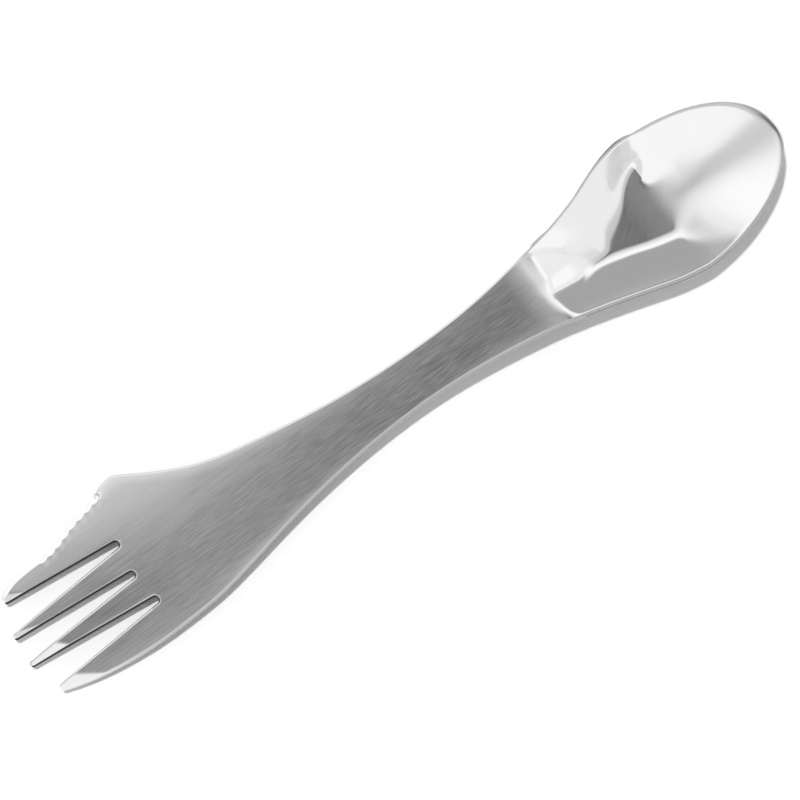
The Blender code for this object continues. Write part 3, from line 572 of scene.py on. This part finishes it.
def makeBlankMesh():
    # the flat sheet with its thickness and rounded edges; z is the depth below its top face
    layOutBlank()
    used, remap = {}, []
    for face in blank["faces"]:
        remap.append(tuple(used.setdefault(i, len(used)) for i in face))
    order = list(used)
    plan = np.array(blank["points"])[order]
    values = {name: np.array(blank[name])[order] for name in ("radius", "knifeShare", "gulletShare")}
    loop = outlineLoop(remap)
    ring = plan[loop]
    way = np.roll(ring, -1, axis=0) - ring
    way /= np.linalg.norm(way, axis=1)[:, None]
    out = np.stack([way[:, 1], -way[:, 0]], axis=1)
    out = out + np.roll(out, 1, axis=0)
    out /= np.linalg.norm(out, axis=1)[:, None]
    radius = values["radius"][loop]
    sheet, count = pressed["sheet"], len(plan)
    turns = np.linspace(0, math.pi / 2, grid["roundSteps"] + 1)[1:]
    levels = [(turn, 0, 1) for turn in turns] + [(turn, -sheet, -1) for turn in turns[::-1]]
    layers, rings = [np.column_stack([plan, np.zeros(count)])], [loop]
    source, edge, band = [np.arange(count)], [np.zeros(count)], [np.zeros(count)]
    # painted shade for the cut edge walls, as a share at each point of the edge
    paintedShade = paintedShadeShare(ring, out)
    for i, (turn, level, sign) in enumerate(levels):
        flat = ring + out * (radius * math.sin(turn))[:, None]
        layers.append(np.column_stack([flat, level - sign * radius * (1 - math.cos(turn))]))
        rings.append(np.arange(len(loop)) + count + i * len(loop))
        source.append(loop)
        edge.append(np.full(len(loop), math.sin(turn)))
        band.append(paintedShade * min(marks["bandTurn"] * math.sin(turn), 1) if sign > 0 else paintedShade)
    under = count + len(levels) * len(loop)
    layers.append(np.column_stack([plan, np.full(count, -sheet)]))
    rings.append(loop + under)
    source.append(np.arange(count))
    edge.append(np.zeros(count))
    band.append(np.zeros(count))
    faces = list(remap)
    for a, b in zip(rings, rings[1:]):
        faces += list(zip(a.tolist(), b.tolist(), np.roll(b, -1).tolist(), np.roll(a, -1).tolist()))
    faces += [tuple(under + i for i in face[::-1]) for face in remap]
    points, source = np.concatenate(layers), np.concatenate(source)
    x, y = points[:, 0], points[:, 1]
    mesh = bpy.data.meshes.new("spork")
    mesh.from_pydata((points * mm).tolist(), [], faces)
    attributes = {
        "pressHeight": topHeight(x, y) * mm,
        "knifeShare": values["knifeShare"][source],
        "gulletShare": values["gulletShare"][source],
        "tipGrind": facetDistance(x, y) * mm,
        "edgeShare": np.concatenate(edge),
        "paintedShadeShare": np.concatenate(band),
        "bevelShare": values["knifeShare"][source] > 0,
        "bowlShare": ease(pressed["fold"] - finish["polishRun"], pressed["fold"] + finish["polishRun"], x),
        "rubShare": rubbedShare(x, y),
    }
    for name, numbers in attributes.items():
        mesh.attributes.new(name, "FLOAT", "POINT").data.foreach_set("value", numbers.astype(np.float32))
    normals = surfaceNormal(x, y).astype(np.float32)
    mesh.attributes.new("pressNormal", "FLOAT_VECTOR", "POINT").data.foreach_set("vector", normals.ravel())
    uvs = mesh.uv_layers.new(name="sheetUV")
    corners = np.zeros(len(mesh.loops), np.int32)
    mesh.loops.foreach_get("vertex_index", corners)
    flat = points[corners][:, :2] / (outline["nose"] - outline["tip"]) + 0.5
    uvs.data.foreach_set("uv", flat.astype(np.float32).ravel())
    return mesh


# The steel's finish, with a painted highlight on the knife bevel
finish = {
    # the near-black grey is painted shade for the cut edge walls
    "steel": "#E3E3E3", "steelWarm": "#E0E1E0", "paintedBevelHighlight": "#FAFAFA", "paintedShadeSteel": "#1C1C1C",
    # roughness: least and most of the brushed handle and the polished bowl, then the edges and rubbed patches
    "handleRoughness": (0.14, 0.20), "bowlRoughness": (0.115, 0.15), "edgeRoughness": 0.30,
    "rubbedRoughness": 0.38, "anisotropy": 0.35, "polishRun": 2.0,
    # grain: width, length, turn in degrees, detail, seed, depth. Real brush lines are about 0.05 wide, and
    # the bowl's polishing lines are finer still: too fine to show, so both are drawn coarser.
    "brush": (0.25, 9.0, 0.0, 2.0, 3, 0.002), "streak": (1.3, 45.0, 0.6, 2.0, 11, 0.004),
    "wave": (7.0, 15.4, 0.0, 1.0, 29, 0.03), "polish": (0.3, 6.0, 38.0, 2.0, 17, 0.0012),
    "grainRoughness": 0.6, "grainRange": (0.3, 0.7), "brushInBowl": 0.25,
}


def makeSteel():
    # 18/8 stainless steel, rolled, pressed and belt-brushed along its length: a grey mirror with fine
    # lines that blur it sideways; the bowl is polished brighter after pressing
    material = bpy.data.materials.new("brushedStainless")
    material.use_nodes = True
    tree = material.node_tree
    tree.nodes.clear()
    place = addNode(tree, "ShaderNodeTexCoord").outputs["Object"]
    share = {}
    for name in ("bowl", "edge", "paintedShade", "bevel", "rub"):
        share[name] = addNode(tree, "ShaderNodeAttribute", {"attribute_name": name + "Share"}).outputs["Fac"]

    grain, depths = {}, {}
    for name in ("brush", "streak", "wave", "polish"):
        width, length, turn, detail, seed, depths[name] = finish[name]
        mapped = addNode(tree, "ShaderNodeMapping", {"vector_type": "TEXTURE"},
                         {"Vector": place, "Rotation": (0, 0, math.radians(turn)),
                          "Scale": (length * mm, width * mm, width * mm), "Location": (seed * mm, 0, 0)})
        grain[name] = addNode(tree, "ShaderNodeTexNoise", {"noise_dimensions": "3D"},
                              {"Vector": mapped.outputs[0], "Scale": 1.0, "Detail": detail,
                               "Roughness": finish["grainRoughness"]}).outputs["Fac"]

    start, end = finish["grainRange"]
    rough = {}
    for name, lines in (("handle", "brush"), ("bowl", "polish")):
        least, most = finish[name + "Roughness"]
        rough[name] = addNode(tree, "ShaderNodeMapRange", {},
                              {"Value": grain[lines], "From Min": start, "From Max": end,
                               "To Min": least, "To Max": most}).outputs[0]
    roughness = rough["handle"]
    for where, value in (("bowl", rough["bowl"]), ("rub", finish["rubbedRoughness"]),
                         ("edge", finish["edgeRoughness"])):
        roughness = addNode(tree, "ShaderNodeMix", {"data_type": "FLOAT"},
                            {0: share[where], 2: roughness, 3: value}).outputs[0]
    # the colour: a random warm tone from the wave, then a painted highlight on the knife bevel and painted
    # shade on the cut edge walls
    colour = toLinear(finish["steel"])
    for where, hexColour in ((grain["wave"], "steelWarm"), (share["bevel"], "paintedBevelHighlight"),
                             (share["paintedShade"], "paintedShadeSteel")):
        colour = addNode(tree, "ShaderNodeMix", {"data_type": "RGBA"},
                         {0: where, 6: colour, 7: toLinear(finish[hexColour])}).outputs[2]

    brushFade = addNode(tree, "ShaderNodeMapRange", {},
                        {"Value": share["bowl"], "To Min": 1.0, "To Max": finish["brushInBowl"]}).outputs[0]
    below = {}
    for name, strength in (("brush", brushFade), ("streak", 1.0), ("wave", 1.0), ("polish", share["bowl"])):
        bump = addNode(tree, "ShaderNodeBump", {},
                       {"Strength": strength, "Distance": depths[name] * mm, "Height": grain[name], **below})
        below = {"Normal": bump.outputs[0]}
    tangent = addNode(tree, "ShaderNodeTangent", {"direction_type": "UV_MAP", "uv_map": "sheetUV"})
    shader = addNode(tree, "ShaderNodeBsdfPrincipled", {},
                     {"Base Color": colour, "Metallic": 1.0, "Roughness": roughness,
                      "Anisotropic": finish["anisotropy"], "Tangent": tangent.outputs[0], **below})
    addNode(tree, "ShaderNodeOutputMaterial", {}, {"Surface": shader.outputs[0]})
    print("steel ready:", len(tree.nodes), "nodes")
    return material


def buildPressTool(material):
    # lifts the flat blank onto its pressed form, and grinds the teeth, the bevel and the tine ends
    tree = bpy.data.node_groups.new("pressAndGrind", "GeometryNodeTree")
    tree.interface.new_socket("Blank", in_out="INPUT", socket_type="NodeSocketGeometry")
    tree.interface.new_socket("Spork", in_out="OUTPUT", socket_type="NodeSocketGeometry")
    sizes = {
        "Sheet": pressed["sheet"] * mm, "Edge left": ground["edgeLeft"] * mm,
        "Knife foot": outline["knifeFoot"][0] * mm, "Tooth pitch": ground["toothPitch"] * mm,
        "Tooth depth": ground["toothDepth"] * mm, "Tooth count": ground["toothCount"],
        "Taper place": ground["taperPlace"] * mm, "Taper length": ground["taperLength"] * mm,
        "Taper": ground["taper"] * mm, "Taper power": ground["taperPower"], "Tip slope": ground["tipSlope"],
    }
    for name in sizes:
        tree.interface.new_socket(name, in_out="INPUT", socket_type="NodeSocketFloat")
    start = addNode(tree, "NodeGroupInput")
    value = {name: start.outputs[name] for name in sizes}
    position = addNode(tree, "GeometryNodeInputPosition").outputs[0]
    place = addNode(tree, "ShaderNodeSeparateXYZ", {}, {0: position})
    value.update(x=place.outputs[0], y=place.outputs[1], z=place.outputs[2])
    for name in ("pressHeight", "knifeShare", "gulletShare", "tipGrind"):
        value[name] = addNode(tree, "GeometryNodeInputNamedAttribute", {"data_type": "FLOAT"},
                              {"Name": name}).outputs[0]
    normal = addNode(tree, "GeometryNodeInputNamedAttribute", {"data_type": "FLOAT_VECTOR"},
                     {"Name": "pressNormal"})
    steps = [  # result, operation and its two terms, which are earlier results or numbers
        ("run", "SUBTRACT", "Knife foot", "x"), ("tooth", "DIVIDE", "run", "Tooth pitch"),
        ("begun", "GREATER_THAN", "tooth", 0.0), ("unended", "LESS_THAN", "tooth", "Tooth count"),
        ("turn", "MULTIPLY", "tooth", math.pi), ("swing", "SINE", "turn", 0.0),
        ("gullet", "ABSOLUTE", "swing", 0.0), ("gullet", "MULTIPLY", "gullet", "Tooth depth"),
        ("gullet", "MULTIPLY", "gullet", "begun"), ("gullet", "MULTIPLY", "gullet", "unended"),
        ("gullet", "MULTIPLY", "gullet", "gulletShare"), ("cutY", "SUBTRACT", "y", "gullet"),
        ("bevel", "SUBTRACT", "Sheet", "Edge left"), ("bevel", "MULTIPLY", "bevel", "knifeShare"),
        ("past", "SUBTRACT", "Taper place", "x"), ("past", "DIVIDE", "past", "Taper length"),
        ("past", "MAXIMUM", "past", 0.0), ("thin", "POWER", "past", "Taper power"),
        ("thin", "MULTIPLY", "thin", "Taper"), ("facet", "MULTIPLY", "tipGrind", "Tip slope"),
        ("drop", "ADD", "bevel", "thin"), ("drop", "ADD", "drop", "facet"),
        ("middle", "MULTIPLY", "Sheet", -0.5), ("upper", "GREATER_THAN", "z", "middle"),
        ("drop", "MULTIPLY", "drop", "upper"), ("depth", "SUBTRACT", "z", "drop"),
    ]
    for name, operation, a, b in steps:
        links = {i: value.get(term, term) for i, term in enumerate((a, b))}
        value[name] = addNode(tree, "ShaderNodeMath", {"operation": operation}, links).outputs[0]
    base = addNode(tree, "ShaderNodeCombineXYZ", {},
                   {0: value["x"], 1: value["cutY"], 2: value["pressHeight"]})
    below = addNode(tree, "ShaderNodeVectorMath", {"operation": "SCALE"},
                    {0: normal.outputs[0], "Scale": value["depth"]})
    final = addNode(tree, "ShaderNodeVectorMath", {"operation": "ADD"},
                    {0: base.outputs[0], 1: below.outputs[0]})
    moved = addNode(tree, "GeometryNodeSetPosition", {},
                    {"Geometry": start.outputs["Blank"], "Position": final.outputs[0]})
    real = addNode(tree, "GeometryNodeRealizeInstances", {}, {"Geometry": moved.outputs[0]})
    dressed = addNode(tree, "GeometryNodeSetMaterial", {},
                      {"Geometry": real.outputs[0], "Material": material})
    addNode(tree, "NodeGroupOutput", {}, {0: dressed.outputs[0]})
    return tree, sizes


def makeSpork():
    material = makeSteel()
    tree, sizes = buildPressTool(material)
    spork = bpy.data.objects.new("sporkSteel", makeBlankMesh())
    bpy.context.scene.collection.objects.link(spork)
    print("blank laid out:", len(spork.data.vertices), "points")
    press = spork.modifiers.new("pressAndGrind", "NODES")
    press.node_group = tree
    for item in tree.interface.items_tree:
        if item.in_out == "INPUT" and item.name in sizes:
            press[item.identifier] = float(sizes[item.name])
    evaluated = spork.evaluated_get(bpy.context.evaluated_depsgraph_get())
    mesh = bpy.data.meshes.new_from_object(evaluated)
    spork.modifiers.clear()
    spork.data = mesh
    for name in ("pressHeight", "pressNormal", "knifeShare", "gulletShare", "tipGrind"):
        mesh.attributes.remove(mesh.attributes[name])
    points = np.zeros(len(mesh.vertices) * 3)
    mesh.vertices.foreach_get("co", points)
    low, high = Vector(points.reshape(-1, 3).min(0)), Vector(points.reshape(-1, 3).max(0))
    shift = (cadLow + cadHigh) / 2 - (low + high) / 2  # centred on the CAD box, standing on its floor
    shift.z = cadLow.z - low.z
    mesh.transform(Matrix.Translation(shift))
    mesh.shade_smooth()
    mesh.set_sharp_from_angle(angle=math.radians(ground["sharpAngle"]))
    print("pressed and ground:", [round(v / mm, 3) for v in (high - low)], "mm")
    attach(spork, "root")
    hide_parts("spork")
    return shift


planShift = makeSpork()

# Studio: white table and a soft overhead lamp
studio = {
    "tilt": 15.0, "turn": 35.9387, "distance": 800.0, "aimHeight": 5.0,
    "frame": 800, "sensor": 36.0, "clip": (10.0, 10000.0),
    "scale": 4.6388, "offCentre": (-7.588, 12.215),  # pixels for a millimetre; pixels right and down
    "floorHex": "#F9F9F9", "floorHalf": 3000.0, "floorRoughness": 0.9,
    "gap": 1.6,  # the table lies this far below the part, so that a strip of shadow shows along the fork
    "roomLight": 0.5, "lampPower": 1.95, "lampLean": (-0.10, 0.12), "lampSize": 4.0,
}


def makeCamera():
    tilt, turn = math.radians(studio["tilt"]), math.radians(studio["turn"])
    right = Vector((math.cos(turn), -math.sin(turn), 0))
    ahead = Vector((math.sin(turn), math.cos(turn), 0))
    up = ahead * math.cos(tilt) + Vector((0, 0, math.sin(tilt)))
    back = Vector((0, 0, math.cos(tilt))) - ahead * math.sin(tilt)
    aim = planShift + Vector((0, 0, studio["aimHeight"] * mm))
    aim += (right * studio["offCentre"][0] - up * studio["offCentre"][1]) / studio["scale"] * mm
    data = bpy.data.cameras.new("camera")
    data.sensor_width = studio["sensor"]
    data.lens = studio["sensor"] * studio["scale"] * studio["distance"] / studio["frame"]
    data.clip_start, data.clip_end = [reach * mm for reach in studio["clip"]]
    camera = bpy.data.objects.new("camera", data)
    camera.matrix_world = Matrix.Translation(aim + back * studio["distance"] * mm) @ Matrix(
        (right, up, back)).transposed().to_4x4()
    bpy.context.scene.collection.objects.link(camera)
    bpy.context.scene.camera = camera


def makeFloor():
    mesh = bpy.data.meshes.new("table")
    half, top = studio["floorHalf"] * mm, cadLow.z - studio["gap"] * mm
    corners = [(-half, -half, top), (half, -half, top), (half, half, top), (-half, half, top)]
    mesh.from_pydata(corners, [], [(0, 1, 2, 3)])
    floor = bpy.data.objects.new("table", mesh)
    bpy.context.scene.collection.objects.link(floor)
    material = bpy.data.materials.new("whiteLaminate")  # matt table top, with no gloss of its own
    material.use_nodes = True
    shader = material.node_tree.nodes["Principled BSDF"]
    shader.inputs["Base Color"].default_value = toLinear(studio["floorHex"])
    shader.inputs["Roughness"].default_value = studio["floorRoughness"]
    shader.inputs["Specular IOR Level"].default_value = 0.0
    mesh.materials.append(material)


def makeLamp():
    data = bpy.data.lights.new("lamp", "SUN")
    data.energy = studio["lampPower"]
    data.angle = math.radians(studio["lampSize"])
    lamp = bpy.data.objects.new("lamp", data)
    towards = Vector((*studio["lampLean"], 1.0))
    lamp.rotation_euler = towards.to_track_quat("Z", "Y").to_euler()
    lamp.visible_glossy = False  # the steel mirrors the room, not this lamp
    bpy.context.scene.collection.objects.link(lamp)


# The room as the steel mirrors it. Directions are degrees from straight up: ax towards +X, ay towards +Y.
# Slant runs between the two, away is how far a direction lies off the dark core, and wide is an oval reach.
room = {
    "slantShare": 1.38, "coreMiddle": 10.3, "coreLean": 0.65, "coreLeanEnd": 5.0, "ovalShare": 1.2,
    # zone: the direction that it is measured along, where it starts, and where it is full
    "zones": {
        "screen": ("slant", -14.5, -20.0), "paleLow": ("ax", -2.0, -10.0),
        "coreHigh": ("ax", 36.0, 12.0), "coreSoft": ("ax", 2.8, -1.2), "coreAway": ("away", 1.8, 7.0),
        "bandSide": ("ax", 6.8, 9.5), "floorSide": ("ax", 9.5, 13.5), "foldSide": ("ax", 22.0, 36.0),
        "rampSide": ("ax", 54.0, 44.0), "rampUp": ("ay", 1.0, 9.0),
        "ridgeUp": ("ay", -16.0, -9.0), "ridgeLow": ("ay", 5.0, 0.0), "ridgeFar": ("ax", 57.5, 60.0),
        "wallSide": ("ax", 12.0, 22.0), "valleySide": ("ay", -14.0, -34.0),
        "windowUp": ("ay", 9.0, 44.0), "windowAcross": ("ax", -18.0, -5.0),
        "far": ("wide", 57.0, 66.0), "back": ("ay", 16.0, 20.0), "low": ("angle", 90.0, 80.0),
        "horizon": ("angle", 80.0, 92.0),
    },
    # layer: zone, then what shows outside it and inside it, an earlier layer or a grey from 0 to 255
    "layers": [
        ("dark", "floorSide", 140, 62), ("dark", "bandSide", 38, "dark"), ("dark", "coreSoft", "dark", 126),
        ("dark", "coreAway", "dark", 198), ("pale", "window", 203, 254), ("bright", "glint", 237, 253),
        ("seen", "foldSide", "pale", "bright"), ("seen", "coreHigh", "seen", "dark"),
        ("seen", "paleLow", "seen", "pale"), ("seen", "window", "seen", 254), ("seen", "wall", "seen", 237),
        ("seen", "screen", "seen", 248), ("seen", "under", "seen", 216), ("seen", "corner", "seen", 163),
    ],
}


def mirroredGrey(number):
    # what the steel must mirror to show this grey
    grey = toLinear("#" + "%02x" % number * 3)[0] / toLinear(finish["steel"])[0]
    return (grey, grey, grey, 1.0)


def makeWorld():
    world = bpy.data.worlds.new("studio")
    bpy.context.scene.world = world
    world.use_nodes = True
    tree = world.node_tree
    tree.nodes.clear()
    direction = addNode(tree, "ShaderNodeTexCoord").outputs["Generated"]
    way = addNode(tree, "ShaderNodeSeparateXYZ", {}, {0: direction})
    value = {"x": way.outputs[0], "y": way.outputs[1], "z": way.outputs[2]}
    directions = [  # result, operation and two terms; the two limits keep clear of straight up
        ("up", "MINIMUM", "z", 0.9999999), ("angle", "ARCCOSINE", "up", 0.0),
        ("angle", "MULTIPLY", "angle", math.degrees(1)), ("xx", "MULTIPLY", "x", "x"),
        ("yy", "MULTIPLY", "y", "y"), ("flat", "ADD", "xx", "yy"), ("flat", "SQRT", "flat", 0.0),
        ("flat", "MAXIMUM", "flat", 0.000001), ("scale", "DIVIDE", "angle", "flat"),
        ("ax", "MULTIPLY", "x", "scale"), ("ay", "MULTIPLY", "y", "scale"),
        ("slant", "MULTIPLY", "ax", room["slantShare"]), ("slant", "ADD", "slant", "ay"),
        ("middle", "MINIMUM", "ax", room["coreLeanEnd"]), ("middle", "MULTIPLY", "middle", room["coreLean"]),
        ("away", "SUBTRACT", "ay", "middle"), ("away", "SUBTRACT", "away", room["coreMiddle"]),
        ("away", "ABSOLUTE", "away", 0.0),
        ("wide", "MULTIPLY", "ax", room["ovalShare"]), ("wide", "MULTIPLY", "wide", "wide"),
        ("deep", "MULTIPLY", "ay", "ay"), ("wide", "ADD", "wide", "deep"), ("wide", "SQRT", "wide", 0.0),
    ]
    overlaps = [
        ("glint", "MULTIPLY", "rampSide", "rampUp"), ("ridge", "MULTIPLY", "ridgeUp", "ridgeLow"),
        ("ridge", "MULTIPLY", "ridge", "ridgeFar"), ("glint", "MAXIMUM", "glint", "ridge"),
        ("under", "MULTIPLY", "horizon", "valleySide"), ("window", "MULTIPLY", "windowUp", "windowAcross"),
        ("corner", "MULTIPLY", "far", "back"), ("corner", "MULTIPLY", "corner", "low"),
        ("wall", "MULTIPLY", "wallSide", "valleySide"),
    ]
    for steps, zones in ((directions, room["zones"]), (overlaps, {})):
        for name, operation, a, b in steps:
            links = {i: value.get(term, term) for i, term in enumerate((a, b))}
            value[name] = addNode(tree, "ShaderNodeMath", {"operation": operation}, links).outputs[0]
        for name, (source, start, full) in zones.items():
            value[name] = addNode(tree, "ShaderNodeMapRange", {"interpolation_type": "SMOOTHSTEP"},
                                  {"Value": value[source], "From Min": start, "From Max": full}).outputs[0]
    layers = {}
    for name, zone, outside, inside in room["layers"]:
        shades = [layers[shade] if shade in layers else mirroredGrey(shade) for shade in (outside, inside)]
        layers[name] = addNode(tree, "ShaderNodeMix", {"data_type": "RGBA"},
                               {0: value[zone], 6: shades[0], 7: shades[1]}).outputs[2]
    path = addNode(tree, "ShaderNodeLightPath")
    white = (1, 1, 1, 1)
    plain = addNode(tree, "ShaderNodeBackground", {}, {"Color": white, "Strength": studio["roomLight"]})
    mirrored = addNode(tree, "ShaderNodeBackground", {}, {"Color": layers["seen"], "Strength": 1.0})
    shown = addNode(tree, "ShaderNodeBackground", {}, {"Color": white, "Strength": 1.0})
    mixed = addNode(tree, "ShaderNodeMixShader", {},
                    {0: path.outputs["Is Glossy Ray"], 1: plain.outputs[0], 2: mirrored.outputs[0]})
    mixed = addNode(tree, "ShaderNodeMixShader", {},
                    {0: path.outputs["Is Camera Ray"], 1: mixed.outputs[0], 2: shown.outputs[0]})
    addNode(tree, "ShaderNodeOutputWorld", {}, {"Surface": mixed.outputs[0]})


makeCamera()
makeFloor()
makeLamp()
makeWorld()
bpy.context.scene.view_settings.view_transform = "Standard"
print("studio ready")
